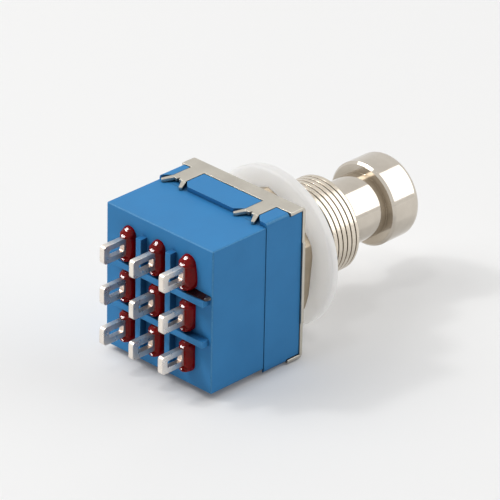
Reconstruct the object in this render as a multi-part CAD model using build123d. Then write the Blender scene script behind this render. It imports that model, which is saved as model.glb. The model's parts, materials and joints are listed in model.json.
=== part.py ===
from build123d import *
import os
from math import atan2, cos, degrees, pi, radians, sin

os.makedirs("parts", exist_ok=True)

# Axes: +X along the plunger toward the foot, +Z up with the switch lying on its side.
# Sizes are given from the front face of the bracket plate on the bushing axis. The saved
# solids are moved so that the origin is where that axis meets the panel. Millimetres.

# ---- body ----
BODY_DEPTH = 14.85
BASE_DEPTH = 8.57
BASE_W = 17.30
BASE_H = 18.50
BASE_EDGE = 0.18
BASE_RIM = 0.12
BASE_WALL_Y = 2.05
BASE_WALL_Z = 1.55
BASE_FLOOR = 1.65
RIB_T = 0.80
RIB_H = 1.00
RIB_STOP_LEFT = 1.65
RIB_STOP_RIGHT = 0.55
RIB_STOP_TOP = 2.15
PART_WALL_H = 1.90
SPIGOT_STEP_Y = 1.25
SPIGOT_STEP_Z = 0.95
SPIGOT_LEN = 1.00
FIT = 0.05

# ---- upper housing ----
COLLAR_STEP_Y = 0.08
COLLAR_STEP_Z = 0.55
COLLAR_FRONT_WALL = 1.50
COLLAR_EDGE = 0.45
CHANNEL_FIT = 0.12
HOUSING_WALL_Y = 2.20
HOUSING_WALL_Z = 2.35
CLIP_WINDOW_R = 4.50

# ---- bracket ----
SHEET = 0.40
SHEET_PROUD = 0.12
SHEET_LIFT = 0.05
BEND_R = 0.55
FLANGE_DEPTH = 2.39
LEG_W = 2.10
LEG_NEAR = 5.45
LEG_FAR = 6.30
FORK_STOP = 0.63
PRONG_W = 0.62
PRONG_TIP_W = 0.42
PRONG_OUT = 1.55
PRONG_BACK = 1.15
PRONG_DROP = 0.15
TIE_LEN = 10.60
TIE_OUT = 0.12

# ---- bushing, plunger and hardware ----
THREAD_R = 6.00
SHANK_R = 5.80
THREAD_RELIEF = 0.10
THREAD_END = 12.65
THREAD_CHAMFER = 0.25
BUSH_FLANGE_R = 7.00
BUSH_FLANGE_T = 0.95
BUSH_LIP_X = 8.00
BUSH_WIDE_R = 4.95
NECK_R = 4.05
SLIDE_CLEAR = 0.07
STEM_R = 3.00
STEM_SHOULDER_X = 7.50
STEM_END_X = -1.30
CAP_R = 5.35
CAP_BACK_X = 19.20
CAP_FRONT_X = 23.90
CAP_ROUND = 1.00
ROD_BORE_R = 1.42
ROD_BORE_END = 8.40
SEAT_R = 5.35
SEAT_WEB = 0.40
SEAT_DEPTH = 1.40
CLIP_T = 0.50
CLIP_R = 4.10
CLIP_GROOVE_R = 2.50
CLIP_X = -0.95
COIL_STEPS = 12
WIRE_SIDES = 6
SPRING_WIRE = 0.50
SPRING_MEAN_R = 3.95
SPRING_COILS = 6.5
NUT_AF = 15.00
NUT_T = 1.90
NUT_X = 0.70
NUT_TURN = 35.0
NUT_CONE = 0.45
LOCK_R = 7.75
LOCK_T = 0.55
LOCK_X = 0.08
LOCK_TEETH = 10
LOCK_GAP_R = 6.90
LOCK_GAP_W = 1.00
WASHER_R = 10.05
WASHER_T = 1.40
WASHER_X = 3.30
WASHER_EDGE = 0.20
WASHER_SINK = 0.25
HOLE_CLEAR = 0.10

# ---- push rod ----
ROD_R = 1.35
ROD_FRONT_X = 5.00
ROD_REACH = 4.30
ROD_TIP_R = 0.90
ROD_SPRING_WIRE = 0.25
ROD_SPRING_R = 1.05
ROD_SPRING_COILS = 5.0

# ---- rocking actuator and contacts ----
PIVOT_LIFT = 6.30
ACT_LATCH = 18.0
ACT_LOW = 3.20
ACT_TOP = 1.40
ACT_HALF_LOW = 1.60
ACT_HALF_MID = 2.20
ACT_HALF_TOP = 1.90
ACT_GAP = 0.70
VALLEY_LOW = 0.40
VALLEY_HALF = 1.50
VALLEY_LEN = 5.20
TRUNNION_R = 1.10
TRUNNION_LEN = 1.20
PIN_R = 0.80
PIN_BORE_R = 0.86
PIN_TIP = 4.00
PIN_BACK = 1.90
PIN_BORE_TOP = 0.40
PIN_SPRING_WIRE = 0.20
PIN_SPRING_R = 0.60
PIN_SPRING_COILS = 4.0
ROCKER_LIFT = 1.75
ROCKER_T = 0.40
ROCKER_END = 0.15
ROCKER_W = 2.40
ROCKER_WING = 3.40
ROCKER_LIP = 0.30
ROCKER_TILT = 4.5

# ---- terminals and seals ----
POLE_MARGIN = 3.95
THROW_MARGIN = 3.85
LUG_LEN = 4.48
LUG_W = 2.30
LUG_T = 0.70
LUG_CORNER = 0.45
EYE_W = 0.90
EYE_START = 0.90
EYE_LEN = 2.30
PAD_Y = 2.20
PAD_Z = 2.70
PAD_T = 0.55
CONTACT_R = 0.90
CONTACT_ROUND = 0.30
CONTACT_GAP = 0.04
FULCRUM_R = 0.30
FULCRUM_GAP = 0.05
SEAL_GAP = 0.10
SEAL_SHIFT = 0.20
SEAL_W = 2.00
SEAL_H = 1.00
SEAL_CROWN = 0.55
SEAL_SHOULDER = 0.30
SEAL_TOP = 0.25
SEAL_FIT = 0.03
RUN_W = 2.90
RUN_LEN = 1.80
RUN_H = 0.40

BACK_X = -BODY_DEPTH
FLOOR_X = BACK_X + BASE_FLOOR
SEAM_X = BACK_X + BASE_DEPTH
PIVOT_X = FLOOR_X + PIVOT_LIFT
ROCKER_X = FLOOR_X + ROCKER_LIFT
FORK_X = SEAM_X + FORK_STOP
ROD_TIP_X = PIVOT_X + ROD_REACH
POLE_PITCH = BASE_H / 2 - POLE_MARGIN
THROW_PITCH = BASE_W / 2 - THROW_MARGIN
ROCKER_HALF = THROW_PITCH + ROCKER_END
SEAL_LEN = POLE_PITCH - RIB_T - 2 * SEAL_GAP
BASE_CAVITY_W = BASE_W - 2 * BASE_WALL_Y
BASE_CAVITY_H = BASE_H - 2 * BASE_WALL_Z
SPIGOT_W = BASE_W - 2 * SPIGOT_STEP_Y
SPIGOT_H = BASE_H - 2 * SPIGOT_STEP_Z
RIB_LEFT = BASE_W / 2 - RIB_STOP_LEFT
RIB_RIGHT = BASE_W / 2 - RIB_STOP_RIGHT
RIB_TOP = BASE_H / 2 - RIB_STOP_TOP
COLLAR_W = BASE_W + 2 * COLLAR_STEP_Y
COLLAR_H = BASE_H + 2 * COLLAR_STEP_Z
HOUSING_CAVITY_W = COLLAR_W - 2 * HOUSING_WALL_Y
HOUSING_CAVITY_H = COLLAR_H - 2 * HOUSING_WALL_Z
BRACKET_W = COLLAR_W + 2 * SHEET_PROUD
BRACKET_H = COLLAR_H + 2 * SHEET_LIFT
ACT_LEN = BASE_CAVITY_H - 2 * ACT_GAP
FLANGE_OUT = BRACKET_H / 2
CHANNEL_FLOOR = FLANGE_OUT - SHEET - CHANNEL_FIT
HOUSING_FRONT = -SHEET - FIT
HOUSING_INNER = HOUSING_FRONT - COLLAR_FRONT_WALL
BUSH_BACK = HOUSING_FRONT - BUSH_FLANGE_T
BUSH_SEAT_X = FIT
PANEL_X = WASHER_X + WASHER_T


def block(x0, x1, y0, y1, z0, z1):
    size = (abs(x1 - x0), abs(y1 - y0), abs(z1 - z0))
    return Pos((x0 + x1) / 2, (y0 + y1) / 2, (z0 + z1) / 2) * Box(*size)


def bar_x(r, x0, x1, y=0.0, z=0.0):
    return Pos((x0 + x1) / 2, y, z) * Rot(0, 90, 0) * Cylinder(r, abs(x1 - x0))


def bar_z(r, z0, z1, x=0.0, y=0.0):
    return Pos(x, y, (z0 + z1) / 2) * Cylinder(r, abs(z1 - z0))


def turned(points):
    """A revolved shape about the X axis from an (x, radius) profile."""
    wire = Polyline(*[(x, r) for x, r in points], close=True)
    return revolve(make_face(wire), axis=Axis.X)


def coil(x0, x1, mean_r, wire, turns):
    """A compression spring along X, in short straight runs of faceted wire."""
    rise = abs(x1 - x0) - wire
    low = min(x0, x1) + wire / 2
    count = round(turns * COIL_STEPS)
    points = []
    for i in range(count + 1):
        angle = 2 * pi * turns * i / count
        points.append((low + rise * i / count, mean_r * cos(angle), mean_r * sin(angle)))
    path = Polyline(*points)
    start = Plane(origin=points[0], z_dir=path % 0)
    wire_face = start * RegularPolygon(wire / 2, WIRE_SIDES)
    return sweep(wire_face, path=path, transition=Transition.RIGHT)


def half_turn(shape):
    """The same shape turned half a turn about the bushing axis."""
    return Rot(180, 0, 0) * shape


def base():
    body = block(BACK_X, SEAM_X, -BASE_W / 2, BASE_W / 2, -BASE_H / 2, BASE_H / 2)
    body = fillet(body.edges().filter_by(Axis.X), BASE_EDGE)
    body = chamfer(body.faces().sort_by(Axis.X)[0].edges(), BASE_RIM)
    body += block(SEAM_X - 1, SEAM_X + SPIGOT_LEN, -SPIGOT_W / 2, SPIGOT_W / 2,
                  -SPIGOT_H / 2, SPIGOT_H / 2)
    body -= block(FLOOR_X, SEAM_X + SPIGOT_LEN + 1, -BASE_CAVITY_W / 2, BASE_CAVITY_W / 2,
                  -BASE_CAVITY_H / 2, BASE_CAVITY_H / 2)
    for side in (-1, 1):
        z = side * POLE_PITCH / 2
        body += block(FLOOR_X - 0.2, FLOOR_X + PART_WALL_H, -BASE_CAVITY_W / 2 - 0.2,
                      BASE_CAVITY_W / 2 + 0.2, z - RIB_T / 2, z + RIB_T / 2)
        body += block(BACK_X - RIB_H, BACK_X + 0.2, -RIB_RIGHT, RIB_LEFT,
                      z - RIB_T / 2, z + RIB_T / 2)
        y = side * THROW_PITCH / 2
        body += block(BACK_X - RIB_H, BACK_X + 0.2, y - RIB_T / 2, y + RIB_T / 2,
                      -RIB_TOP, RIB_TOP)
    slot_r = TRUNNION_R + SLIDE_CLEAR
    deep = SPIGOT_H / 2
    body -= bar_z(slot_r, -deep, deep, PIVOT_X)
    body -= block(PIVOT_X, SEAM_X + SPIGOT_LEN + 1, -slot_r, slot_r, -deep, deep)
    for row in (-1, 0, 1):
        for col in (-1, 0, 1):
            y, z = col * THROW_PITCH, row * POLE_PITCH
            body -= block(BACK_X - RIB_H - 1, FLOOR_X + 0.1, y - LUG_T / 2 - FIT,
                          y + LUG_T / 2 + FIT, z - LUG_W / 2 - FIT, z + LUG_W / 2 + FIT)
    return body


def leg_centres():
    return (-LEG_NEAR, LEG_FAR)


def channel_cuts():
    """Recesses for one flange and its two legs, on the upper side."""
    wide = LEG_W / 2 + CHANNEL_FIT
    top = COLLAR_H / 2 + 1
    tool = block(-FLANGE_DEPTH - CHANNEL_FIT, HOUSING_FRONT + 1, -COLLAR_W, COLLAR_W,
                 CHANNEL_FLOOR, top)
    flare = PRONG_OUT + PRONG_W / 2 + CHANNEL_FIT + 0.15
    for y in leg_centres():
        tool += block(SEAM_X - 1, -FLANGE_DEPTH, y - wide, y + wide, CHANNEL_FLOOR, top)
        mouth = Polyline((SEAM_X - 0.5, y - flare), (SEAM_X + 0.05, y - flare),
                         (FORK_X + 0.35, y - wide), (FORK_X + 0.35, y + wide),
                         (SEAM_X + 0.05, y + flare), (SEAM_X - 0.5, y + flare), close=True)
        face = Pos(0, 0, BASE_H / 2) * make_face(mouth)
        tool += extrude(face, amount=top - BASE_H / 2, dir=(0, 0, 1))
    return tool


def upper_housing():
    back = SEAM_X + FIT
    body = block(back, HOUSING_FRONT, -COLLAR_W / 2, COLLAR_W / 2,
                 -COLLAR_H / 2, COLLAR_H / 2)
    body = fillet(body.edges().filter_by(Axis.X), COLLAR_EDGE)
    cut = channel_cuts()
    body -= cut
    body -= half_turn(cut)
    body -= block(back - 1, HOUSING_INNER, -HOUSING_CAVITY_W / 2, HOUSING_CAVITY_W / 2,
                  -HOUSING_CAVITY_H / 2, HOUSING_CAVITY_H / 2)
    gap = 2 * FIT
    body -= block(back - 1, SEAM_X + SPIGOT_LEN + gap, -SPIGOT_W / 2 - gap,
                  SPIGOT_W / 2 + gap, -SPIGOT_H / 2 - gap, SPIGOT_H / 2 + gap)
    body -= bar_x(BUSH_FLANGE_R + 2 * FIT, BUSH_BACK - FIT, HOUSING_FRONT + 1)
    body -= bar_x(CLIP_WINDOW_R, HOUSING_INNER - 1, HOUSING_FRONT + 1)
    return body


def prong(y, side):
    """One half of a split leg end, spread sideways and pressed down behind the collar."""
    z = FLANGE_OUT - SHEET / 2
    start = (FORK_X + 0.35, y + side * (LEG_W - PRONG_W) / 2)
    tip = (FORK_X - PRONG_BACK, y + side * PRONG_OUT)
    length = ((tip[0] - start[0]) ** 2 + (tip[1] - start[1]) ** 2) ** 0.5
    turn = degrees(atan2(tip[1] - start[1], tip[0] - start[0]))
    outline = Polyline((0, -PRONG_W / 2), (length, -PRONG_TIP_W / 2), (length, PRONG_TIP_W / 2),
                       (0, PRONG_W / 2), close=True)
    arm = extrude(Pos(0, 0, -SHEET / 2) * make_face(outline), amount=SHEET, dir=(0, 0, 1))
    arm = fillet(arm.edges().filter_by(Axis.Z).sort_by(Axis.X)[-2:], 0.15)
    droop = degrees(atan2(PRONG_DROP, length))
    return Pos(start[0], start[1], z) * Rot(0, 0, turn) * Rot(0, droop, 0) * arm


def bracket_side():
    z0, z1 = FLANGE_OUT - SHEET, FLANGE_OUT
    side = block(-FLANGE_DEPTH, 0, -BRACKET_W / 2, BRACKET_W / 2, z0, z1)
    for y in leg_centres():
        leg = block(FORK_X, -FLANGE_DEPTH + 0.1, y - LEG_W / 2, y + LEG_W / 2, z0, z1)
        notch = Polyline((FORK_X - 0.3, y - 0.36), (FORK_X + 0.45, y),
                         (FORK_X - 0.3, y + 0.36), close=True)
        leg -= extrude(Pos(0, 0, z0 - 1) * make_face(notch), amount=3, dir=(0, 0, 1))
        side += leg
        side += prong(y, -1)
        side += prong(y, 1)
    return side


def bracket():
    half = BRACKET_H / 2
    body = block(-SHEET, 0, -BRACKET_W / 2, BRACKET_W / 2, -half, half)
    body += block(-SHEET, 0, -BRACKET_W / 2 - TIE_OUT, BRACKET_W / 2 + TIE_OUT,
                  -TIE_LEN / 2, TIE_LEN / 2)
    body += bracket_side()
    body += half_turn(bracket_side())
    bends = body.edges().filter_by(Axis.Y).filter_by_position(Axis.X, -0.01, 0.01)
    bends = bends.filter_by(lambda e: abs(abs(e.center().Z) - half) < 0.01)
    body = fillet(bends, BEND_R)
    body -= bar_x(SHANK_R + FIT, -SHEET - 1, 1)
    return body


def bushing():
    lip_r = NECK_R + SLIDE_CLEAR
    seat_r = SEAT_R + FIT
    thread_x = PANEL_X + THREAD_RELIEF
    end = THREAD_END
    return turned([
        (BUSH_BACK, seat_r), (BUSH_BACK, BUSH_FLANGE_R), (HOUSING_FRONT, BUSH_FLANGE_R),
        (HOUSING_FRONT, SHANK_R), (thread_x, SHANK_R), (thread_x, THREAD_R),
        (end - THREAD_CHAMFER, THREAD_R),
        (end, THREAD_R - THREAD_CHAMFER), (end, lip_r + 0.35), (end - 0.35, lip_r),
        (BUSH_LIP_X, lip_r), (BUSH_LIP_X, BUSH_WIDE_R), (BUSH_SEAT_X, BUSH_WIDE_R),
        (BUSH_SEAT_X, seat_r)])


def plunger():
    groove0 = CLIP_X - 0.03
    groove1 = CLIP_X + CLIP_T + 0.03
    body = turned([
        (STEM_END_X, ROD_BORE_R), (STEM_END_X, STEM_R - 0.2), (STEM_END_X + 0.2, STEM_R),
        (groove0, STEM_R), (groove0, CLIP_GROOVE_R), (groove1, CLIP_GROOVE_R),
        (groove1, STEM_R), (STEM_SHOULDER_X, STEM_R), (STEM_SHOULDER_X, NECK_R - 0.2),
        (STEM_SHOULDER_X + 0.2, NECK_R), (CAP_BACK_X, NECK_R), (CAP_BACK_X, CAP_R - 0.3),
        (CAP_BACK_X + 0.3, CAP_R), (CAP_FRONT_X, CAP_R), (CAP_FRONT_X, 0),
        (ROD_BORE_END, 0), (ROD_BORE_END, ROD_BORE_R)])
    rim = body.edges().filter_by_position(Axis.X, CAP_FRONT_X - 0.01, CAP_FRONT_X + 0.01)
    return fillet(rim, CAP_ROUND)


def spring_seat():
    back = -SEAT_DEPTH
    return turned([
        (back, CLIP_R + 0.40), (back, SEAT_R), (0, SEAT_R), (0, STEM_R + 0.08),
        (-SEAT_WEB, STEM_R + 0.08), (-SEAT_WEB, CLIP_R + 0.40)])


def return_spring():
    return coil(0.05, STEM_SHOULDER_X - 0.05, SPRING_MEAN_R, SPRING_WIRE, SPRING_COILS)


def retaining_clip():
    """An E-clip: a flat ring open on one side, gripping the stem groove on three lands."""
    ring = bar_x(CLIP_R, CLIP_X, CLIP_X + CLIP_T)
    ring -= bar_x(STEM_R + 0.25, CLIP_X - 1, CLIP_X + CLIP_T + 1)
    for angle in (0, 110, 250):
        land = block(CLIP_X, CLIP_X + CLIP_T, -0.6, 0.6, -CLIP_R + 0.35, -CLIP_GROOVE_R)
        ring += Rot(angle, 0, 0) * land
    ring -= bar_x(CLIP_GROOVE_R + 0.03, CLIP_X - 1, CLIP_X + CLIP_T + 1)
    mouth = block(CLIP_X - 1, CLIP_X + CLIP_T + 1, -1.5, 1.5, 0, CLIP_R + 1)
    return ring - mouth


def hex_nut():
    blank = extrude(Plane.YZ * RegularPolygon(NUT_AF / 2, 6, major_radius=False), NUT_T)
    corner = NUT_AF / 2 / cos(radians(30))
    rim = corner - NUT_CONE * 1.6
    turn = turned([(0, 0), (0, rim), (NUT_CONE, corner), (NUT_T - NUT_CONE, corner),
                   (NUT_T, rim), (NUT_T, 0)])
    nut = blank & turn
    nut -= bar_x(SHANK_R + FIT, -1, NUT_T + 1)
    return Pos(NUT_X, 0, 0) * Rot(NUT_TURN, 0, 0) * nut


def lock_washer():
    ring = bar_x(LOCK_R, LOCK_X, LOCK_X + LOCK_T) - bar_x(SHANK_R + HOLE_CLEAR,
                                                         LOCK_X - 1, LOCK_X + LOCK_T + 1)
    for k in range(LOCK_TEETH):
        gap = block(LOCK_X - 1, LOCK_X + LOCK_T + 1, -LOCK_GAP_W / 2, LOCK_GAP_W / 2,
                    THREAD_R - 0.5, LOCK_GAP_R)
        ring -= Rot(k * 360 / LOCK_TEETH, 0, 0) * gap
    return ring


def nylon_washer():
    bore = SHANK_R + FIT
    ring = bar_x(WASHER_R, WASHER_X, PANEL_X)
    ring = chamfer(ring.edges(), WASHER_EDGE) - bar_x(bore, WASHER_X - 1, PANEL_X + 1)
    # the bore's front edge is opened so that the full thread stands free of the seat
    return ring - turned([
        (PANEL_X - WASHER_SINK, 0), (PANEL_X - WASHER_SINK, bore),
        (PANEL_X + WASHER_SINK, bore + 2 * WASHER_SINK), (PANEL_X + WASHER_SINK, 0)])


def push_rod():
    shank_end = ROD_TIP_X + 1.6
    body = turned([
        (ROD_TIP_X + ROD_TIP_R, 0), (ROD_TIP_X + ROD_TIP_R, ROD_TIP_R), (shank_end, ROD_R),
        (ROD_FRONT_X - 0.2, ROD_R), (ROD_FRONT_X, ROD_R - 0.2), (ROD_FRONT_X, 0)])
    return body + Pos(ROD_TIP_X + ROD_TIP_R, 0, 0) * Sphere(ROD_TIP_R)


def push_rod_spring():
    return coil(ROD_FRONT_X + 0.05, ROD_BORE_END - 0.05, ROD_SPRING_R, ROD_SPRING_WIRE,
                ROD_SPRING_COILS)


def latched(shape):
    """Tilt a shape drawn square about the actuator pivot into its latched position."""
    return Pos(PIVOT_X, 0, 0) * Rot(0, 0, ACT_LATCH) * Pos(-PIVOT_X, 0, 0) * shape


def actuator():
    x = PIVOT_X
    half = ACT_LEN / 2
    outline = Polyline((x - ACT_LOW, -ACT_HALF_LOW), (x, -ACT_HALF_MID),
                       (x + ACT_TOP, -ACT_HALF_TOP), (x + ACT_TOP, ACT_HALF_TOP),
                       (x, ACT_HALF_MID), (x - ACT_LOW, ACT_HALF_LOW), close=True)
    body = extrude(Pos(0, 0, -half) * make_face(outline), amount=ACT_LEN, dir=(0, 0, 1))
    body = fillet(body.edges().filter_by(Axis.Z), 0.20)
    valley = Polyline((x + VALLEY_LOW, 0), (x + ACT_TOP, VALLEY_HALF),
                      (x + ACT_TOP + 1, VALLEY_HALF), (x + ACT_TOP + 1, -VALLEY_HALF),
                      (x + ACT_TOP, -VALLEY_HALF), close=True)
    body -= extrude(Pos(0, 0, -VALLEY_LEN / 2) * make_face(valley), amount=VALLEY_LEN,
                    dir=(0, 0, 1))
    body += bar_z(TRUNNION_R, -half - TRUNNION_LEN, half + TRUNNION_LEN, x)
    for row in (-1, 0, 1):
        body -= bar_x(PIN_BORE_R, x - ACT_LOW - 1, x - PIN_BORE_TOP, 0, row * POLE_PITCH)
    return latched(body)


def contact_pin(row):
    z = row * POLE_PITCH
    nose = PIVOT_X - PIN_TIP + PIN_R
    body = bar_x(PIN_R, nose, PIVOT_X - PIN_BACK, 0, z) + Pos(nose, 0, z) * Sphere(PIN_R)
    return latched(body)


def pin_spring(row):
    body = coil(PIVOT_X - PIN_BACK + 0.04, PIVOT_X - PIN_BORE_TOP - 0.04, PIN_SPRING_R,
                PIN_SPRING_WIRE, PIN_SPRING_COILS)
    return latched(Pos(0, 0, row * POLE_PITCH) * body)


def rocker(row):
    """See-saw contact blade, drawn level and then tilted down toward its closed side."""
    z = row * POLE_PITCH
    x0, x1 = ROCKER_X, ROCKER_X + ROCKER_T
    blade = block(x0, x1, -ROCKER_HALF, ROCKER_HALF, z - ROCKER_W / 2, z + ROCKER_W / 2)
    blade = fillet(blade.edges().filter_by(Axis.X), 0.6)
    wing = ROCKER_WING / 2
    blade += block(x0, x1, -2.1, 2.1, z - wing, z + wing)
    for side in (-1, 1):
        edge = z + side * (wing - 0.15)
        blade += block(x0, x1 + ROCKER_LIP, -2.1, 2.1, edge - 0.15, edge + 0.15)
    return Pos(ROCKER_X, 0, 0) * Rot(0, 0, -ROCKER_TILT) * Pos(-ROCKER_X, 0, 0) * blade


def terminal(row, col):
    """A lug with its eye, its leg through the floor, and the contact head inside."""
    y, z = col * THROW_PITCH, row * POLE_PITCH
    tip = BACK_X - LUG_LEN
    lug = block(tip, FLOOR_X + FIT, y - LUG_T / 2, y + LUG_T / 2, z - LUG_W / 2, z + LUG_W / 2)
    ends = lug.edges().filter_by(Axis.Y).sort_by(Axis.X)[:2]
    lug = fillet(ends, LUG_CORNER)
    eye = block(tip + EYE_START, tip + EYE_START + EYE_LEN, y - 1, y + 1,
                z - EYE_W / 2, z + EYE_W / 2)
    lug -= fillet(eye.edges().filter_by(Axis.Y), 0.20)
    pad = FLOOR_X + FIT
    lug += block(pad, pad + PAD_T, y - PAD_Y / 2, y + PAD_Y / 2, z - PAD_Z / 2, z + PAD_Z / 2)
    if col == 0:
        ridge = ROCKER_X - FULCRUM_GAP - FULCRUM_R
        lug += block(pad, ridge, y - FULCRUM_R, y + FULCRUM_R, z - LUG_W / 2, z + LUG_W / 2)
        return lug + bar_z(FULCRUM_R, z - LUG_W / 2, z + LUG_W / 2, ridge, y)
    drop = THROW_PITCH * sin(radians(ROCKER_TILT))
    top = ROCKER_X - drop - CONTACT_GAP
    head = bar_x(CONTACT_R, pad, top, y, z)
    rim = head.edges().filter_by_position(Axis.X, top - 0.01, top + 0.01)
    return lug + chamfer(rim, CONTACT_ROUND)


def seal(row, col):
    """A bead of potting resin round the foot of one lug."""
    y, z = col * THROW_PITCH, row * POLE_PITCH
    width = RUN_W if (row, col) == (1, -1) else SEAL_W
    lean = SEAL_SHIFT if col == -1 else 0
    if width == RUN_W:
        lean = (RUN_W - SEAL_W) / 2
    foot = Plane(origin=(BACK_X, y - lean, z), x_dir=(0, 0, 1), z_dir=(-1, 0, 0))
    bead = extrude(foot * SlotOverall(SEAL_LEN, width), SEAL_H)
    bead = chamfer(bead.faces().sort_by(Axis.X)[0].edges(), SEAL_CROWN, SEAL_SHOULDER)
    bead = chamfer(bead.faces().sort_by(Axis.X)[0].edges(), SEAL_TOP)
    if width == RUN_W:
        edge = POLE_PITCH / 2 + RIB_T / 2 + 0.04
        start = y - RUN_W + SEAL_W / 2
        run = block(BACK_X - RUN_H, BACK_X, start - RUN_LEN, start + 1.0, edge, edge + 0.55)
        bead += fillet(run.edges().filter_by(Axis.Y).sort_by(Axis.X)[:2], 0.18)
    bead -= block(BACK_X - 3, BACK_X + 1, y - LUG_T / 2 - SEAL_FIT, y + LUG_T / 2 + SEAL_FIT,
                  z - LUG_W / 2 - SEAL_FIT, z + LUG_W / 2 + SEAL_FIT)
    return bead


def save(shape, node):
    export_step(Pos(-PANEL_X, 0, 0) * shape, "parts/" + node + ".step")


save(base(), "base")
save(upper_housing(), "upper_housing")
save(bracket(), "bracket")
save(bushing(), "bushing")
save(plunger(), "plunger")
save(spring_seat(), "spring_seat")
save(return_spring(), "return_spring")
save(retaining_clip(), "retaining_clip")
save(hex_nut(), "hex_nut")
save(lock_washer(), "lock_washer")
save(nylon_washer(), "nylon_washer")
save(push_rod(), "push_rod")
save(push_rod_spring(), "push_rod_spring")
save(actuator(), "actuator")
for pole, row in ((1, 1), (2, 0), (3, -1)):
    save(contact_pin(row), "contact_pin_%d" % pole)
    save(pin_spring(row), "pin_spring_%d" % pole)
    save(rocker(row), "rocker_%d" % pole)
    for letter, col in (("a", 1), ("b", 0), ("c", -1)):
        save(terminal(row, col), "terminal_%d%s" % (pole, letter))
        save(seal(row, col), "seal_%d%s" % (pole, letter))
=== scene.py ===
import json
import math

import bmesh
import bpy
from mathutils import Matrix, Vector, noise


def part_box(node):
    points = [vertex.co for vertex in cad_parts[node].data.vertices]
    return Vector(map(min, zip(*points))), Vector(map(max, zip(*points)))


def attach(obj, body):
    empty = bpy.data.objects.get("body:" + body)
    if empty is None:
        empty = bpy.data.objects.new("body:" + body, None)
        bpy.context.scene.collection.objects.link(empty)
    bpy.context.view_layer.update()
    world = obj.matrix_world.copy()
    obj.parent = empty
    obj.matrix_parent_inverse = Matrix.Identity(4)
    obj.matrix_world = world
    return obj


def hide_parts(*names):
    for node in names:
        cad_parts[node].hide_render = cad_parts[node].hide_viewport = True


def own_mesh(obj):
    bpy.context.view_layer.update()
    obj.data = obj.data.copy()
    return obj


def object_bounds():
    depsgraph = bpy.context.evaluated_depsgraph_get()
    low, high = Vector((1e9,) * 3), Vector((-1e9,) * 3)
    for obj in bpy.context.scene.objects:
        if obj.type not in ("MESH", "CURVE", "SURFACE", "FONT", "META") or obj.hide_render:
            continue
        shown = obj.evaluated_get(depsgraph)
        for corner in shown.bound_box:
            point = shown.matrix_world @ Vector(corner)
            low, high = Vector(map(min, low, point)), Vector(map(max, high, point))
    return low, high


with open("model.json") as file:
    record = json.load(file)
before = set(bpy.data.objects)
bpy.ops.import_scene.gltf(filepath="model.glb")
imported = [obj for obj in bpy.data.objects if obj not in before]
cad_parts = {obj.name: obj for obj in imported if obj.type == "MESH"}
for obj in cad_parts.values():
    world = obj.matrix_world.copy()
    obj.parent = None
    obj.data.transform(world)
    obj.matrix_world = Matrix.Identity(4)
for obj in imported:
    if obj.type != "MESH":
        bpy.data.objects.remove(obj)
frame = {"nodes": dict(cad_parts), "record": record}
nodes = frame["nodes"]
CAD_BOX = [list(v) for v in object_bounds()]
MM = 0.001

# ---- places read from the frame ----
BUSH_LOW, BUSH_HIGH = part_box("bushing")
THREAD_END_X = BUSH_HIGH.x
PLATE_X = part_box("bracket")[1].x
PANEL_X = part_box("nylon_washer")[1].x
FLOOR_Z = CAD_BOX[0][2]


# ---------------------------------------------------------------- materials
NOISE_LOW, NOISE_HIGH = 0.3, 0.7    # most of a noise's values lie between these
FLAT_NORMAL, EDGE_NORMAL = 0.985, 0.80    # a normal's largest share, on a flat and an edge
# the painted shade in corners: where it is darkest and where it ends
SHADE_FULL, SHADE_NONE = 0.25, 0.80    # how open a corner is where it is darkest and clear
STUDIO_WHITE = (0.896, 0.896, 0.896)


def new_material(name):
    mat = bpy.data.materials.new(name)
    mat.use_nodes = True
    tree = mat.node_tree
    bsdf = tree.nodes["Principled BSDF"]
    return mat, tree, bsdf


def coords(tree, scale, stretch=(1, 1, 1)):
    """Object coordinates, stretched, in units of the given size in metres."""
    place = tree.nodes.new("ShaderNodeTexCoord")
    mapping = tree.nodes.new("ShaderNodeMapping")
    mapping.inputs["Scale"].default_value = [s / scale for s in stretch]
    tree.links.new(place.outputs["Object"], mapping.inputs["Vector"])
    return mapping.outputs["Vector"]


def noise_of(tree, vector, detail=4.0, rough=0.55):
    tex = tree.nodes.new("ShaderNodeTexNoise")
    tex.inputs["Scale"].default_value = 1.0
    tex.inputs["Detail"].default_value = detail
    tex.inputs["Roughness"].default_value = rough
    tree.links.new(vector, tex.inputs["Vector"])
    return tex.outputs["Fac"]


def ramp(tree, fac, stops):
    """A colour for each value, from stops of a place and a colour."""
    node = tree.nodes.new("ShaderNodeValToRGB")
    while len(node.color_ramp.elements) < len(stops):
        node.color_ramp.elements.new(0.5)
    for element, (pos, color) in zip(node.color_ramp.elements, stops):
        element.position = pos
        element.color = (*color, 1.0)
    tree.links.new(fac, node.inputs["Fac"])
    return node.outputs["Color"]


def spread(tree, fac, low, high):
    """The noise value laid out between two numbers."""
    node = tree.nodes.new("ShaderNodeMapRange")
    node.inputs["From Min"].default_value = NOISE_LOW
    node.inputs["From Max"].default_value = NOISE_HIGH
    node.inputs["To Min"].default_value = low
    node.inputs["To Max"].default_value = high
    tree.links.new(fac, node.inputs["Value"])
    return node.outputs["Result"]


def surface(tree, bsdf, height, depth, edge):
    """Bump from a height, on top of slightly broken edges."""
    bevel = tree.nodes.new("ShaderNodeBevel")
    bevel.samples = 4
    bevel.inputs["Radius"].default_value = edge
    bump = tree.nodes.new("ShaderNodeBump")
    bump.inputs["Strength"].default_value = 1.0
    bump.inputs["Distance"].default_value = depth
    tree.links.new(height, bump.inputs["Height"])
    tree.links.new(bevel.outputs["Normal"], bump.inputs["Normal"])
    tree.links.new(bump.outputs["Normal"], bsdf.inputs["Normal"])


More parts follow.
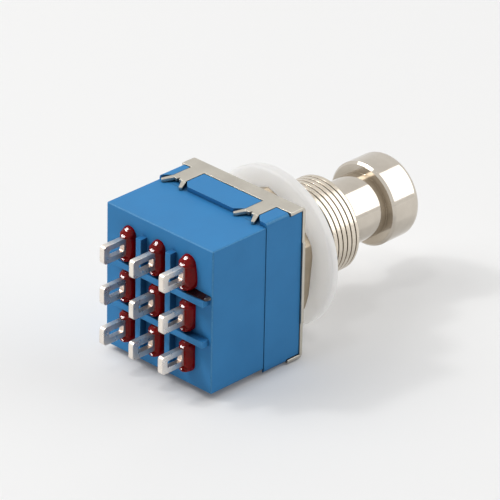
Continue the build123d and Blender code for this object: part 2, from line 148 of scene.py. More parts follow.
def edge_highlight_and_wear(tree, reach, grain):
    """How far a point is on a broken edge, 0 to 1, for a painted highlight on the edges with
    some wear:
    on the flats of a square moulding the normal runs along one axis, and on its edges it
    doesn't."""
    bevel = tree.nodes.new("ShaderNodeBevel")
    bevel.samples = 6
    bevel.inputs["Radius"].default_value = reach
    size = tree.nodes.new("ShaderNodeVectorMath")
    size.operation = "ABSOLUTE"
    tree.links.new(bevel.outputs["Normal"], size.inputs[0])
    split = tree.nodes.new("ShaderNodeSeparateXYZ")
    tree.links.new(size.outputs["Vector"], split.inputs["Vector"])
    first, most = (tree.nodes.new("ShaderNodeMath") for _ in range(2))
    first.operation = most.operation = "MAXIMUM"
    tree.links.new(split.outputs["X"], first.inputs[0])
    tree.links.new(split.outputs["Y"], first.inputs[1])
    tree.links.new(first.outputs["Value"], most.inputs[0])
    tree.links.new(split.outputs["Z"], most.inputs[1])
    edge_share = tree.nodes.new("ShaderNodeMapRange")
    edge_share.interpolation_type = "SMOOTHSTEP"
    edge_share.inputs["From Min"].default_value = FLAT_NORMAL
    edge_share.inputs["From Max"].default_value = EDGE_NORMAL
    tree.links.new(most.outputs["Value"], edge_share.inputs["Value"])
    highlit_worn_edges = tree.nodes.new("ShaderNodeMath")
    highlit_worn_edges.operation = "MULTIPLY"
    tree.links.new(edge_share.outputs["Result"], highlit_worn_edges.inputs[0])
    tree.links.new(spread(tree, grain, 0.15, 1.0), highlit_worn_edges.inputs[1])
    return highlit_worn_edges.outputs["Value"]


def painted_crevice_shade(tree, color, reach, low):
    """Painted shade: darkens a colour in narrow corners and gaps, where shade falls."""
    near = tree.nodes.new("ShaderNodeAmbientOcclusion")
    near.samples = 8
    near.inputs["Distance"].default_value = reach
    shade = ramp(tree, near.outputs["AO"], [(SHADE_FULL, low), (SHADE_NONE, (1, 1, 1))])
    mix = tree.nodes.new("ShaderNodeMix")
    mix.data_type = "RGBA"
    mix.blend_type = "MULTIPLY"
    mix.inputs["Factor"].default_value = 1.0
    tree.links.new(color, mix.inputs["A"])
    tree.links.new(shade, mix.inputs["B"])
    return mix.outputs["Result"]


def blend_colors(tree, fac, base, other):
    mix = tree.nodes.new("ShaderNodeMix")
    mix.data_type = "RGBA"
    tree.links.new(fac, mix.inputs["Factor"])
    tree.links.new(base, mix.inputs["A"])
    mix.inputs["B"].default_value = (*other, 1)
    return mix.outputs["Result"]


def blue_plastic():
    """Moulded plastic: satin and slightly cloudy. Paler along its edges: a painted highlight
    where they catch the light, with some wear. Darker in its corners and gaps: painted shade.
    """
    mat, tree, bsdf = new_material("blue_plastic")
    cloud = noise_of(tree, coords(tree, 4 * MM))
    grain = noise_of(tree, coords(tree, 0.12 * MM), detail=2)
    color = ramp(tree, cloud, [(NOISE_LOW, (0.033, 0.215, 0.490)),
                               (NOISE_HIGH, (0.040, 0.236, 0.525))])
    edges = edge_highlight_and_wear(tree, 0.12 * MM, grain)
    # a paler blue on the edges: painted highlight, with some wear
    highlit_worn_edges = blend_colors(tree, edges, color, (0.13, 0.38, 0.66))
    # painted shade in the plastic's corners and gaps, blue-grey where darkest
    shaded = painted_crevice_shade(tree, highlit_worn_edges, 2.4 * MM, (0.30, 0.38, 0.44))
    tree.links.new(shaded, bsdf.inputs["Base Color"])
    tree.links.new(spread(tree, cloud, 0.40, 0.50), bsdf.inputs["Roughness"])
    bsdf.inputs["Specular IOR Level"].default_value = 0.15
    surface(tree, bsdf, grain, 0.004 * MM, 0.10 * MM)
    return mat


def metal(name, color, dark, rough, grain_size, stretch, depth, edge, shade=0.0,
          low=(0.25, 0.25, 0.25), metallic=1.0):
    """Metal with a cloudy tint and a grain in its roughness and bump. Its corners darken toward
    low within the distance shade: painted shade."""
    mat, tree, bsdf = new_material(name)
    bsdf.inputs["Metallic"].default_value = metallic
    grain = noise_of(tree, coords(tree, grain_size, stretch), detail=5, rough=0.65)
    cloud = noise_of(tree, coords(tree, 3 * MM), detail=3)
    tint = ramp(tree, cloud, [(NOISE_LOW, dark), (NOISE_HIGH, color)])
    if shade:
        tint = painted_crevice_shade(tree, tint, shade, low)
    tree.links.new(tint, bsdf.inputs["Base Color"])
    tree.links.new(spread(tree, grain, rough * 0.8, rough * 1.25), bsdf.inputs["Roughness"])
    surface(tree, bsdf, grain, depth, edge)
    return mat


# Its corners and the gaps round it darken: painted shade.
def nickel_sheet():
    return metal("nickel_sheet", (0.61, 0.575, 0.50), (0.53, 0.495, 0.43), 0.34, 0.35 * MM,
                 (1, 1, 1), 0.004 * MM, 0.14 * MM, shade=0.8 * MM)


def bright_nickel():
    return metal("bright_nickel", (0.76, 0.695, 0.60), (0.69, 0.63, 0.54), 0.10, 0.25 * MM,
                 (1.0, 0.25, 0.25), 0.002 * MM, 0.06 * MM)


# Darker and browner wherever the floor, body and washer are near: painted shade and painted
# reflection.
def plated_alloy():
    return metal("plated_alloy", (0.64, 0.585, 0.51), (0.56, 0.51, 0.44), 0.09, 0.30 * MM,
                 (0.25, 1.0, 1.0), 0.001 * MM, 0.08 * MM, 8 * MM, (0.49, 0.43, 0.34))


# Darker and browner near the body and the beads: painted shade, with a painted reflection of the
# red resin.
def tinned_copper():
    return metal("tinned_copper", (0.97, 0.90, 0.82), (0.86, 0.78, 0.69), 0.30, 0.8 * MM,
                 (1, 1, 1), 0.003 * MM, 0.12 * MM, 2.5 * MM, (0.40, 0.26, 0.20), 0.84)


# The nut's nickel: its darker, browner colour and its darker corners are painted shade.
def shaded_satin_nickel():
    return metal("shaded_satin_nickel", (0.43, 0.36, 0.27), (0.37, 0.31, 0.23), 0.40, 0.30 * MM,
                 (1, 1, 1), 0.004 * MM, 0.30 * MM, shade=2.0 * MM)


# Its grooves, and the thread next to the washer, darken: painted shade.
def thread_nickel():
    return metal("thread_nickel", (0.76, 0.69, 0.59), (0.62, 0.555, 0.46), 0.24, 0.40 * MM,
                 (0.6, 1, 1), 0.004 * MM, 0.02 * MM, 1.0 * MM, (0.40, 0.35, 0.28))


def silvered_copper():
    return metal("silvered_copper", (0.83, 0.79, 0.73), (0.75, 0.70, 0.63), 0.25, 0.3 * MM,
                 (1, 1, 1), 0.004 * MM, 0.03 * MM)


def spring_steel():
    return metal("spring_steel", (0.56, 0.56, 0.58), (0.45, 0.45, 0.48), 0.28, 0.2 * MM,
                 (1, 1, 1), 0.002 * MM, 0.02 * MM)


def brass():
    return metal("brass", (0.80, 0.62, 0.30), (0.70, 0.52, 0.24), 0.20, 0.2 * MM,
                 (0.2, 1, 1), 0.003 * MM, 0.03 * MM)


def nylon(name, light, dark, soft, reach, edge):
    """Nylon that light goes into: soft is how much of it does, reach how far."""
    mat, tree, bsdf = new_material(name)
    cloud = noise_of(tree, coords(tree, 3 * MM))
    grain = noise_of(tree, coords(tree, 0.15 * MM), detail=2)
    tint = ramp(tree, cloud, [(NOISE_LOW, dark), (NOISE_HIGH, light)])
    tree.links.new(tint, bsdf.inputs["Base Color"])
    tree.links.new(spread(tree, cloud, 0.30, 0.42), bsdf.inputs["Roughness"])
    bsdf.inputs["Subsurface Weight"].default_value = soft
    bsdf.inputs["Subsurface Radius"].default_value = (1.0, 0.95, 0.86)
    bsdf.inputs["Subsurface Scale"].default_value = reach
    surface(tree, bsdf, grain, 0.003 * MM, edge)
    return mat


def white_nylon():
    return nylon("white_nylon", (0.99, 0.985, 0.97), (0.975, 0.97, 0.95), 1.0, 16.0 * MM,
                 0.40 * MM)


def natural_nylon():
    return nylon("natural_nylon", (0.80, 0.78, 0.70), (0.72, 0.70, 0.62), 0.3, 1.5 * MM,
                 0.08 * MM)


def resin(name, thin, thick, gloss):
    """Cast resin, glossy, with a little light scattered in it and two tones of one colour."""
    mat, tree, bsdf = new_material(name)
    cloud = noise_of(tree, coords(tree, 1.6 * MM), detail=3)
    wave = noise_of(tree, coords(tree, 0.9 * MM), detail=1)
    tree.links.new(ramp(tree, cloud, [(0.35, thick), (0.70, thin)]), bsdf.inputs["Base Color"])
    bsdf.inputs["Roughness"].default_value = 0.05
    bsdf.inputs["Specular IOR Level"].default_value = gloss
    bsdf.inputs["Subsurface Weight"].default_value = 0.2
    bsdf.inputs["Subsurface Radius"].default_value = (1.0, 0.10, 0.08)
    bsdf.inputs["Subsurface Scale"].default_value = 0.3 * MM
    surface(tree, bsdf, wave, 0.003 * MM, 0.03 * MM)
    return mat


RED_RESIN = resin("red_resin", (0.17, 0.001, 0.001), (0.25, 0.000, 0.000), 0.14)
# the run's resin, painted near black: painted shade
SHADED_RESIN_FILM = resin("shaded_resin_film", (0.020, 0.006, 0.010), (0.012, 0.008, 0.014), 0.6)
SHADED_SATIN_NICKEL = shaded_satin_nickel()
THREAD_NICKEL = thread_nickel()

MATERIALS = {
    "blue_plastic": blue_plastic(),
    "nickel_sheet": nickel_sheet(),
    "bright_nickel": bright_nickel(),
    "plated_alloy": plated_alloy(),
    "spring_steel": spring_steel(),
    "white_nylon": white_nylon(),
    "natural_nylon": natural_nylon(),
    "brass": brass(),
    "silvered_copper": silvered_copper(),
    "tinned_copper": tinned_copper(),
    "red_resin": RED_RESIN,
}


def dress_cad_nodes():
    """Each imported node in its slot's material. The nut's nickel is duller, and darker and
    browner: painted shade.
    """
    for part in frame["record"]["subparts"]:
        obj = nodes[part["node"]]
        obj.data.materials.clear()
        obj.data.materials.append(MATERIALS[part["material_slot"]])
    nodes["hex_nut"].data.materials[0] = SHADED_SATIN_NICKEL


# ---------------------------------------------------------------- meshes
SHARP_DEGREES = 50


def add_mesh(name, verts, faces, slot, body):
    """A smooth mesh in its slot's material, which moves with a body."""
    mesh = bpy.data.meshes.new(name)
    mesh.from_pydata(verts, [], faces)
    mesh.validate()
    for poly in mesh.polygons:
        poly.use_smooth = True
    obj = bpy.data.objects.new(name, mesh)
    bpy.context.scene.collection.objects.link(obj)
    fix = bmesh.new()
    fix.from_mesh(mesh)
    bmesh.ops.recalc_face_normals(fix, faces=fix.faces)
    fix.to_mesh(mesh)
    fix.free()
    mesh.materials.append(MATERIALS[slot])
    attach(obj, body)
    return obj


PITCH = 0.75 * MM
THREAD_DEPTH = 0.30 * MM
# one turn of the thread's outline: place along the pitch, and share of the depth cut there
THREAD_TURN = ((0.00, 1.0), (0.05, 1.0), (0.11, 0.18), (0.125, 0.07), (0.145, 0.015),
               (0.17, 0.003), (0.33, 0.001), (0.50, 0.0), (0.67, 0.001), (0.83, 0.003),
               (0.855, 0.015), (0.875, 0.07), (0.89, 0.18), (0.95, 1.0), (1.00, 1.0))
THREAD_R = 6.0 * MM
THREAD_CHAMFER = 0.25 * MM
THREAD_RELIEF = 0.10 * MM
SHANK_R = 5.80 * MM
BORE_R = 4.12 * MM
WIDE_R = 4.95 * MM
SEAT_R = 5.40 * MM
FLANGE_R = (BUSH_HIGH.y - BUSH_LOW.y) / 2
FLANGE_T = 0.95 * MM
THREAD_START_X = BUSH_LOW.x + FLANGE_T
LIP_X = PLATE_X + 8.0 * MM
BORE_CHAMFER = 0.35 * MM
THREAD_STEPS = 180
THREAD_WELD = 0.0005 * MM


def thread_radius(x, angle):
    """Radius of a rolled right-handed thread: broad crests and narrow grooves, cut off by
    the end chamfer."""
    phase = ((x - THREAD_START_X) / PITCH - angle / (2 * math.pi)) % 1.0
    radius = THREAD_R
    for (near, shallow), (far, deep) in zip(THREAD_TURN, THREAD_TURN[1:]):
        if near <= phase <= far:
            cut = shallow + (deep - shallow) * (phase - near) / (far - near)
            radius = THREAD_R - THREAD_DEPTH * cut
    if x < PANEL_X + THREAD_RELIEF:
        radius = min(radius, SHANK_R)
    return min(radius, THREAD_R - THREAD_CHAMFER + (THREAD_END_X - x))


def build_bushing():
    """The bushing with its real thread, a closed form whose edges run along the helix."""
    back = BUSH_LOW.x
    pitches = int((THREAD_END_X - THREAD_START_X) / PITCH) + 2
    stations = [THREAD_START_X + (pitch - 1 + place) * PITCH for pitch in range(pitches + 1)
                for place, _ in THREAD_TURN[:-1]]
    flange = [(back, SEAT_R), (back, FLANGE_R), (THREAD_START_X, FLANGE_R)]
    bore = [(THREAD_END_X, BORE_R + BORE_CHAMFER), (THREAD_END_X - BORE_CHAMFER, BORE_R),
            (LIP_X, BORE_R), (LIP_X, WIDE_R), (PLATE_X, WIDE_R), (PLATE_X, SEAT_R)]
    verts = []
    for k in range(THREAD_STEPS + 1):
        angle = 2 * math.pi * k / THREAD_STEPS
        xs = [min(THREAD_END_X, max(THREAD_START_X, x + PITCH * k / THREAD_STEPS))
              for x in stations]
        ring = flange + [(x, thread_radius(x, angle)) for x in xs] + bore
        verts += [(x, radius * math.cos(angle), radius * math.sin(angle)) for x, radius in ring]
    n = len(flange) + len(stations) + len(bore)
    faces = [(k * n + i, k * n + (i + 1) % n, (k + 1) * n + (i + 1) % n, (k + 1) * n + i)
             for k in range(THREAD_STEPS) for i in range(n)]
    obj = add_mesh("threaded_bushing", verts, faces, "bright_nickel", "body")
    obj.data.materials[0] = THREAD_NICKEL
    weld(obj, THREAD_WELD)
    mark_sharp(obj)
    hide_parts("bushing")


def weld(obj, reach):
    """Joins the points that lie on each other."""
    fix = bmesh.new()
    fix.from_mesh(obj.data)
    bmesh.ops.remove_doubles(fix, verts=fix.verts, dist=reach)
    bmesh.ops.recalc_face_normals(fix, faces=fix.faces)
    fix.to_mesh(obj.data)
    fix.free()


def mark_sharp(obj):
    """Keeps the edges crisp that turn by more than SHARP_DEGREES."""
    mesh = obj.data
    limit = math.radians(SHARP_DEGREES)
    fix = bmesh.new()
    fix.from_mesh(mesh)
    for edge in fix.edges:
        if len(edge.link_faces) == 2 and edge.calc_face_angle(0) > limit:
            edge.smooth = False
    fix.to_mesh(mesh)
    fix.free()


BEAD_R = 1.0 * MM
BEAD_CREEP = 0.12 * MM
BEAD_WELD = 0.002 * MM
LUG_HALF_Z = 1.15 * MM
# the way the resin's flats face: across the bead, up it, and out from the base
SHINE = (-0.057, 0.765, 0.641)
# past the lug's end the round back is squarer: how far past it, and over what reach
SQUARE_PAST, SQUARE_REACH = 0.12 * MM, 0.36 * MM
SPINE_FLAT = 0.955    # where the upper end's flat begins, as a share of the radius
# the fillet up the lug's upper edge: its top, its rise, and where it starts and is full
CLIMB_TOP, CLIMB_RISE = 0.26 * MM, 0.30 * MM
CLIMB_SIDE, CLIMB_SIDE_FULL = 0.60 * MM, 0.38 * MM
CLIMB_START, CLIMB_FULL = -0.30 * MM, 0.02 * MM
# the lower end, measured up from the foot: where it begins and is full, and its two lips
RUN_START, RUN_FULL = 1.40 * MM, 0.95 * MM
LOW_LIP_TOP, LOW_LIP_RISE = 0.88 * MM, (0.90 * MM, 1.12 * MM)
LIP_STEP, LIP_STEP_START, LIP_STEP_FULL = 0.22 * MM, 0.62 * MM, 0.52 * MM
FOOT_LIP_TOP, FOOT_LIP_RISE = 0.52 * MM, 0.24 * MM
FOOT_ROUND = 0.30
# unevenness: its waves across and along, in noise units a metre, and its height in mm
UNEVEN_Y, UNEVEN_Z, UNEVEN_MM = 700, 500, 0.006
# the slumped bead runs out to the right, most a little below its middle
SLUMP_NODE, SLUMP = "seal_1c", 0.42 * MM
SLUMP_LEAST, SLUMP_MORE = 0.35, 0.65
SLUMP_AT, SLUMP_REACH = -0.6 * MM, 2.2 * MM


def bump_at(value, centre, reach):
    """A smooth hump, 1 at its centre and 0 beyond its reach."""
    t = min(1.0, abs(value - centre) / reach)
    return (1 - t * t) ** 2


def flat_between(lean, top, low, high):
    """A flat that faces the way the resin's other flats do: how far it stands out, from low
    at its top edge to high at its foot."""
    _, up, out = SHINE
    return min(high, max(low, low + (top - lean) * up / out))


def ease(value, start, end):
    """0 at the start, 1 at the end, straight between them."""
    return min(1.0, max(0.0, (value - start) / (end - start)))


def foot_rise(lean, foot, inward):
    """The lower end, where the resin has run down into two lips that lie straight across."""
    low_lip = flat_between(lean, foot + LOW_LIP_TOP, *LOW_LIP_RISE)
    low_lip -= LIP_STEP * ease(lean, foot + LIP_STEP_START, foot + LIP_STEP_FULL)
    foot_lip = flat_between(lean, foot + FOOT_LIP_TOP, low_lip, low_lip + FOOT_LIP_RISE)
    return foot_lip * math.sqrt(1 - (1 - ease(inward, 0, FOOT_ROUND)) ** 2)


def bead_rise(y, z, inward, half_len, seed):
    """How far the resin stands out: a round back whose upper end has drawn in flat, a lower
    end with two lips, and a fillet that climbs the lug's upper edge."""
    across, up, out = SHINE
    foot, spine = -half_len, half_len - BEAD_R
    lean = z + y * across / up
    flat = bump_at(z, LUG_HALF_Z + SQUARE_PAST, SQUARE_REACH)
    rise = BEAD_R * math.sqrt(max(0.0, 1 - (1 - inward) ** (2 + 4 * flat)))
    if z > spine:
        rise = min(rise, max(0.0, (BEAD_R * SPINE_FLAT - (lean - spine) * up) / out))
    near_lug = ease(abs(y), CLIMB_SIDE, CLIMB_SIDE_FULL)
    climb = flat_between(lean, LUG_HALF_Z + CLIMB_TOP, 0, CLIMB_RISE) * near_lug * ease(
        z, LUG_HALF_Z + CLIMB_START, LUG_HALF_Z + CLIMB_FULL)
    run = ease(z, foot + RUN_START, foot + RUN_FULL)
    rise = rise * (1 - run) + foot_rise(lean, foot, inward) * run
    uneven = noise.noise(Vector((y * UNEVEN_Y + seed, z * UNEVEN_Z, seed))) * UNEVEN_MM * MM
    return rise + (climb + uneven) * min(1.0, inward * 3)


def bead(name, centre, half_len, seed, slump):
    """A resin bead on a slot-shaped foot. A slump lets its right side run down and out."""
    across, ends, along = 24, 36, 64
    spine = half_len - BEAD_R
    levels = [-spine - BEAD_R * math.cos(math.pi / 2 * i / ends) for i in range(ends)]
    levels += [spine * (2 * i / along - 1) for i in range(along + 1)]
    levels += [spine + BEAD_R * math.sin(math.pi / 2 * (i + 1) / ends) for i in range(ends)]
    verts = []
    for z in levels:
        beyond = max(0.0, abs(z) - spine)
        half = math.sqrt(max(0.0, BEAD_R ** 2 - beyond ** 2))
        for k in range(across + 1):
            y = half * math.cos(math.pi * k / across)
            inward = 1 - min(1.0, math.hypot(y, beyond) / BEAD_R)
            rise = bead_rise(y, z, inward, half_len, seed)
            if y < 0:
                y *= 1 + slump / BEAD_R * (
                    SLUMP_LEAST + SLUMP_MORE * bump_at(z, SLUMP_AT, SLUMP_REACH))
            verts.append((centre.x - rise, centre.y + y, centre.z + z))
    n = across + 1
    rows = len(levels)
    faces = [(i * n + k, i * n + k + 1, (i + 1) * n + k + 1, (i + 1) * n + k)
             for i in range(rows - 1) for k in range(across)]
    foot_rim = [i * n for i in range(rows)] + [i * n + across for i in range(rows - 2, 0, -1)]
    faces.append(tuple(foot_rim))
    obj = add_mesh(name, verts, faces, "red_resin", "body")
    weld(obj, BEAD_WELD)
    mark_sharp(obj)
    return obj


def build_beads():
    """A bead round each lug. The beads of a column have one length, that of pole 3."""
    for pole in "123":
        for letter in "abc":
            node = "seal_" + pole + letter
            low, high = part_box(node)
            lug_low, lug_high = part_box("terminal_" + pole + letter)
            whole_low, whole_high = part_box("seal_3" + letter)
            half_len = (whole_high.z - whole_low.z) / 2 + BEAD_CREEP / 2
            middle = (lug_low.z + lug_high.z + BEAD_CREEP) / 2
            centre = Vector((high.x, high.y - BEAD_R, middle))
            obj = bead("resin_" + pole + letter, centre, half_len,
                       ord(pole) * 7 + ord(letter), SLUMP if node == SLUMP_NODE else 0.0)
            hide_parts(node)
            if node == SLUMP_NODE:
                build_resin_run(low, high, centre)


# the resin run: where its drop is and how long, and where its end closes, in its own length
DROP_AT, DROP_REACH = 0.88, 0.11
CLOSE_AT, CLOSE_REACH = 0.94, 0.06
# its depth and height at the start and what they lose, in mm, and how hollow it is
RUN_DEEP, RUN_DEEP_LOSS = 0.86, 0.10
RUN_TALL, RUN_TALL_LOSS = 0.50, 0.14
HOLLOW, HOLLOW_LOSS = 2.1, 1.25
RUN_SINK = 0.02 * MM    # how far it reaches into the base and the rib


def build_resin_run(low, high, centre):
    """Resin that crept along the corner between the rib and the base: a hollow fillet over the
    rib's upper side that ends in a drop. Its near-black colour is painted shade."""
    start, end = centre.y - BEAD_R * 0.4, low.y + RUN_SINK
    steps, around = 40, 10
    verts = []
    for i in range(steps + 1):
        t = i / steps
        y = start + (end - start) * t
        drop = bump_at(t, DROP_AT, DROP_REACH)
        close = math.sqrt(max(0.0, 1 - (max(0.0, t - CLOSE_AT) / CLOSE_REACH) ** 2))
        deep = (RUN_DEEP - RUN_DEEP_LOSS * t) * MM * close
        tall = (RUN_TALL - RUN_TALL_LOSS * t) * MM * close
        hollow = HOLLOW - HOLLOW_LOSS * drop
        for k in range(around + 1):
            a = (math.pi / 2) * k / around
            verts.append((high.x - deep * math.cos(a) ** hollow, y,
                          low.z + tall * math.sin(a) ** hollow))
        verts.append((high.x + RUN_SINK, y, low.z - RUN_SINK))
    n = around + 2
    faces = [(i * n + k, i * n + (k + 1) % n, (i + 1) * n + (k + 1) % n, (i + 1) * n + k)
             for i in range(steps) for k in range(n)]
    faces.append(tuple(range(n)))
    faces.append(tuple(steps * n + k for k in reversed(range(n))))
    film = add_mesh("resin_run", verts, faces, "red_resin", "body")
    film.data.materials[0] = SHADED_RESIN_FILM


CLOSED_PITCH = 1.06    # of a closed end turn, in wires
COIL_STEPS, WIRE_SIDES = 36, 10


def spring(name, node, wire, turns, body):
    """Round wire wound along X, its end turns closed."""
    low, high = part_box(node)
    middle = (low + high) / 2
    mean_r = (high.y - low.y - wire) / 2
    closed = CLOSED_PITCH * wire
    open_rise = high.x - low.x - wire - 2 * closed
    steps, sides = round(turns * COIL_STEPS), WIRE_SIDES
    verts = []
    for i in range(steps + 1):
        turn = turns * i / steps
        x = low.x + wire / 2 + open_rise * ease(turn, 1, turns - 1)
        x += closed * (ease(turn, 0, 1) + ease(turn, turns - 1, turns))
        angle = 2 * math.pi * turn
        for k in range(sides):
            b = 2 * math.pi * k / sides
            radius = mean_r + wire / 2 * math.cos(b)
            verts.append((x + wire / 2 * math.sin(b), middle.y + radius * math.cos(angle),
                          middle.z + radius * math.sin(angle)))
    faces = [(i * sides + k, i * sides + (k + 1) % sides, (i + 1) * sides + (k + 1) % sides,
              (i + 1) * sides + k) for i in range(steps) for k in range(sides)]
    faces.append(tuple(range(sides)))
    faces.append(tuple(steps * sides + k for k in range(sides)))
    obj = add_mesh(name, verts, faces, "spring_steel", body)
    mark_sharp(obj)
    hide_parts(node)
    return obj


RETURN_WIRE, RETURN_TURNS = 0.50 * MM, 6.5
ROD_WIRE, ROD_TURNS = 0.25 * MM, 5.0
PIN_WIRE, PIN_TURNS = 0.20 * MM, 4.0


def build_springs():
    """The springs in round wire. The two that the button and the push rod squeeze get meshes of
    their own.
    """
    obj = spring("return_coil", "return_spring", RETURN_WIRE, RETURN_TURNS, "body")
    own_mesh(obj)
    obj = spring("push_rod_coil", "push_rod_spring", ROD_WIRE, ROD_TURNS, "button")
    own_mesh(obj)
    for pole in "123":
        spring("pin_coil_" + pole, "pin_spring_" + pole, PIN_WIRE, PIN_TURNS, "rocking")


# ---------------------------------------------------------------- stage
FLOOR_HALF = 4.0
# the floor's own glow: its share near the part, and where it starts to rise and is full
GLOW_NEAR, GLOW_START, GLOW_FULL = 0.32, 0.12, 0.60
PAINTED_SHADOW_REACH = 2.4 * MM


def build_floor():
    """A wide pale table that glows a little, which lightens the shadow. Far from the part
    it only glows, as evenly as the background, so that its edge never shows. Close under
    the part its glow darkens: a painted contact shadow."""
    verts = [(x * FLOOR_HALF, y * FLOOR_HALF, FLOOR_Z)
             for x, y in ((-1, -1), (1, -1), (1, 1), (-1, 1))]
    mesh = bpy.data.meshes.new("floor")
    mesh.from_pydata(verts, [], [(0, 1, 2, 3)])
    obj = bpy.data.objects.new("floor", mesh)
    bpy.context.scene.collection.objects.link(obj)
    mat, tree, bsdf = new_material("floor_paper")
    cloud = noise_of(tree, coords(tree, 0.25), detail=2)
    paper = ramp(tree, cloud, [(NOISE_LOW, (0.885, 0.885, 0.885)),
                               (NOISE_HIGH, (0.895, 0.895, 0.895))])
    tree.links.new(paper, bsdf.inputs["Base Color"])
    bsdf.inputs["Roughness"].default_value = 0.6
    bsdf.inputs["Specular IOR Level"].default_value = 0.2
    place = tree.nodes.new("ShaderNodeTexCoord")
    reach = tree.nodes.new("ShaderNodeVectorMath")
    reach.operation = "LENGTH"
    tree.links.new(place.outputs["Object"], reach.inputs[0])
    far = tree.nodes.new("ShaderNodeMapRange")
    far.interpolation_type = "SMOOTHSTEP"
    far.inputs["From Min"].default_value = GLOW_START
    far.inputs["From Max"].default_value = GLOW_FULL
    far.inputs["To Min"].default_value = GLOW_NEAR
    tree.links.new(reach.outputs["Value"], far.inputs["Value"])
    glow = tree.nodes.new("ShaderNodeEmission")
    # painted contact shadow: the glow darkens where the part is near
    under = tree.nodes.new("ShaderNodeAmbientOcclusion")
    under.samples = 12
    under.inputs["Distance"].default_value = PAINTED_SHADOW_REACH
    painted_contact_shadow = ramp(tree, under.outputs["AO"], [(0.30, (0.25, 0.25, 0.26)), (0.95, STUDIO_WHITE)])
    tree.links.new(painted_contact_shadow, glow.inputs["Color"])
    mix = tree.nodes.new("ShaderNodeMixShader")
    tree.links.new(far.outputs["Result"], mix.inputs["Fac"])
    tree.links.new(bsdf.outputs["BSDF"], mix.inputs[1])
    tree.links.new(glow.outputs["Emission"], mix.inputs[2])
    tree.links.new(mix.outputs["Shader"], tree.nodes["Material Output"].inputs["Surface"])
    mesh.materials.append(mat)


def area_light(name, direction, distance, size, power, along=(0, 0, 1)):
    """A rectangular light facing the part, its second side laid along a direction."""
    data = bpy.data.lights.new(name, "AREA")
    data.shape = "RECTANGLE"
    data.size, data.size_y = size
    data.energy = power
    obj = bpy.data.objects.new(name, data)
    bpy.context.scene.collection.objects.link(obj)
    back = Vector(direction).normalized()
    side = Vector(along).cross(back).normalized()
    turn = Matrix((side, back.cross(side), back)).transposed()
    obj.matrix_world = Matrix.Translation(back * distance) @ turn.to_4x4()


KEY_DIR = (-0.42, 0.53, 0.74)
TOP_DIR = (-0.24, 0.07, 0.95)
BOX_DIR = (0.636, -0.50, 0.588)
BOX_ALONG = (0.0, -0.76, -0.65)
ROOM_FAR = (0.72, 0.69, 0.30)
FLAG_START, FLAG_FULL = 0.868, 0.875
FLAG_BLACK = (0.03, 0.03, 0.03)


def build_lights():
    """A soft key on the left with a hotter middle, a small light above, and a large
    softbox on the right."""
    area_light("key", KEY_DIR, 0.75, (0.46, 0.40), 1.85)
    area_light("key_core", KEY_DIR, 0.72, (0.075, 0.065), 1.05)
    area_light("top_core", TOP_DIR, 0.72, (0.09, 0.09), 0.40)
    area_light("softbox", BOX_DIR, 0.70, (0.60, 0.81), 2.50, BOX_ALONG)


def build_world():
    """Camera, glossy and transmission rays see the white background. The room lights what
    is left: diffuse rays and, for rough metal too, the light sampled from the world."""
    world = bpy.data.worlds.new("studio")
    bpy.context.scene.world = world
    world.use_nodes = True
    tree = world.node_tree
    tree.nodes.clear()
    out = tree.nodes.new("ShaderNodeOutputWorld")
    room = tree.nodes.new("ShaderNodeBackground")
    tree.links.new(room_color(tree), room.inputs["Color"])
    white = tree.nodes.new("ShaderNodeBackground")
    white.inputs["Color"].default_value = (*STUDIO_WHITE, 1)
    path = tree.nodes.new("ShaderNodeLightPath")
    seen, through = (tree.nodes.new("ShaderNodeMath") for _ in range(2))
    seen.operation = through.operation = "MAXIMUM"
    tree.links.new(path.outputs["Is Camera Ray"], seen.inputs[0])
    tree.links.new(path.outputs["Is Glossy Ray"], seen.inputs[1])
    tree.links.new(seen.outputs["Value"], through.inputs[0])
    tree.links.new(path.outputs["Is Transmission Ray"], through.inputs[1])
    mix = tree.nodes.new("ShaderNodeMixShader")
    tree.links.new(through.outputs["Value"], mix.inputs["Fac"])
    tree.links.new(room.outputs["Background"], mix.inputs[1])
    tree.links.new(white.outputs["Background"], mix.inputs[2])
    tree.links.new(mix.outputs["Shader"], out.inputs["Surface"])


def facing(tree, direction):
    """How far a ray runs in a direction: 0 straight away from it, 1 straight along it."""
    place = tree.nodes.new("ShaderNodeTexCoord")
    dot = tree.nodes.new("ShaderNodeVectorMath")
    dot.operation = "DOT_PRODUCT"
    dot.inputs[1].default_value = Vector(direction).normalized()
    tree.links.new(place.outputs["Generated"], dot.inputs[0])
    half = tree.nodes.new("ShaderNodeMath")
    half.operation = "MULTIPLY_ADD"
    half.inputs[1].default_value = 0.5
    half.inputs[2].default_value = 0.5
    tree.links.new(dot.outputs["Value"], half.inputs[0])
    return half.outputs["Value"]


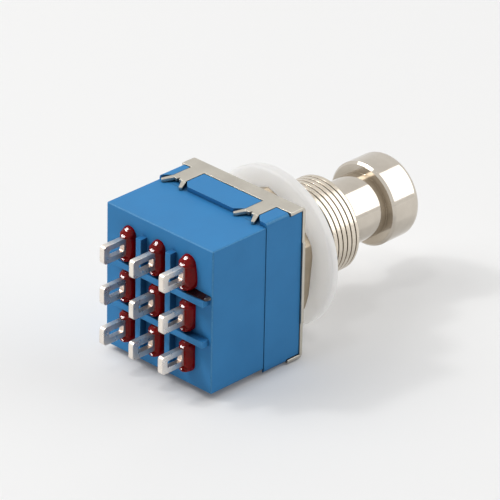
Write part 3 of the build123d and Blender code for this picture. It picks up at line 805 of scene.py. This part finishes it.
def room_color(tree):
    """The light of the room, which no camera or mirror ray sees: pale at its far wall, dark
    behind the camera, and black flags round the softbox."""
    room = ramp(tree, facing(tree, ROOM_FAR), [
        (0.0, (0.07, 0.07, 0.08)), (0.40, (0.16, 0.16, 0.16)), (0.68, (0.70, 0.69, 0.67)),
        (1.0, (0.80, 0.79, 0.77))])
    flags = ramp(tree, facing(tree, BOX_DIR), [
        (0.0, (1, 1, 1)), (FLAG_START, (1, 1, 1)), (FLAG_FULL, FLAG_BLACK), (1.0, FLAG_BLACK)])
    both = tree.nodes.new("ShaderNodeMix")
    both.data_type = "RGBA"
    both.blend_type = "MULTIPLY"
    both.inputs["Factor"].default_value = 1.0
    tree.links.new(room, both.inputs["A"])
    tree.links.new(flags, both.inputs["B"])
    return both.outputs["Result"]


# ---------------------------------------------------------------- camera
CAM_AZ = math.radians(-46.06)
CAM_EL = math.radians(27.89)
CAM_ROLL = math.radians(1.14)
CAM_DIST = 0.570
CAM_LENS = 351.0
AIM_RIGHT = 0.09 * MM
AIM_UP = 0.73 * MM


def build_camera():
    data = bpy.data.cameras.new("camera")
    obj = bpy.data.objects.new("camera", data)
    bpy.context.scene.collection.objects.link(obj)
    data.lens = CAM_LENS
    data.sensor_width = 36.0
    data.clip_start, data.clip_end = 0.01, 20.0
    back = Vector((math.sin(CAM_AZ) * math.cos(CAM_EL), -math.cos(CAM_AZ) * math.cos(CAM_EL),
                   math.sin(CAM_EL)))
    level = Vector((math.cos(CAM_AZ), math.sin(CAM_AZ), 0))
    rise = back.cross(level)
    right = level * math.cos(CAM_ROLL) + rise * math.sin(CAM_ROLL)
    up = rise * math.cos(CAM_ROLL) - level * math.sin(CAM_ROLL)
    place = Vector((PLATE_X, 0, 0)) + right * AIM_RIGHT + up * AIM_UP + back * CAM_DIST
    turn = Matrix((right, up, back)).transposed()
    obj.matrix_world = Matrix.Translation(place) @ turn.to_4x4()
    bpy.context.scene.camera = obj


dress_cad_nodes()
build_bushing()
build_beads()
build_springs()
build_floor()
build_lights()
build_world()
build_camera()
bpy.context.scene.view_settings.view_transform = "Standard"
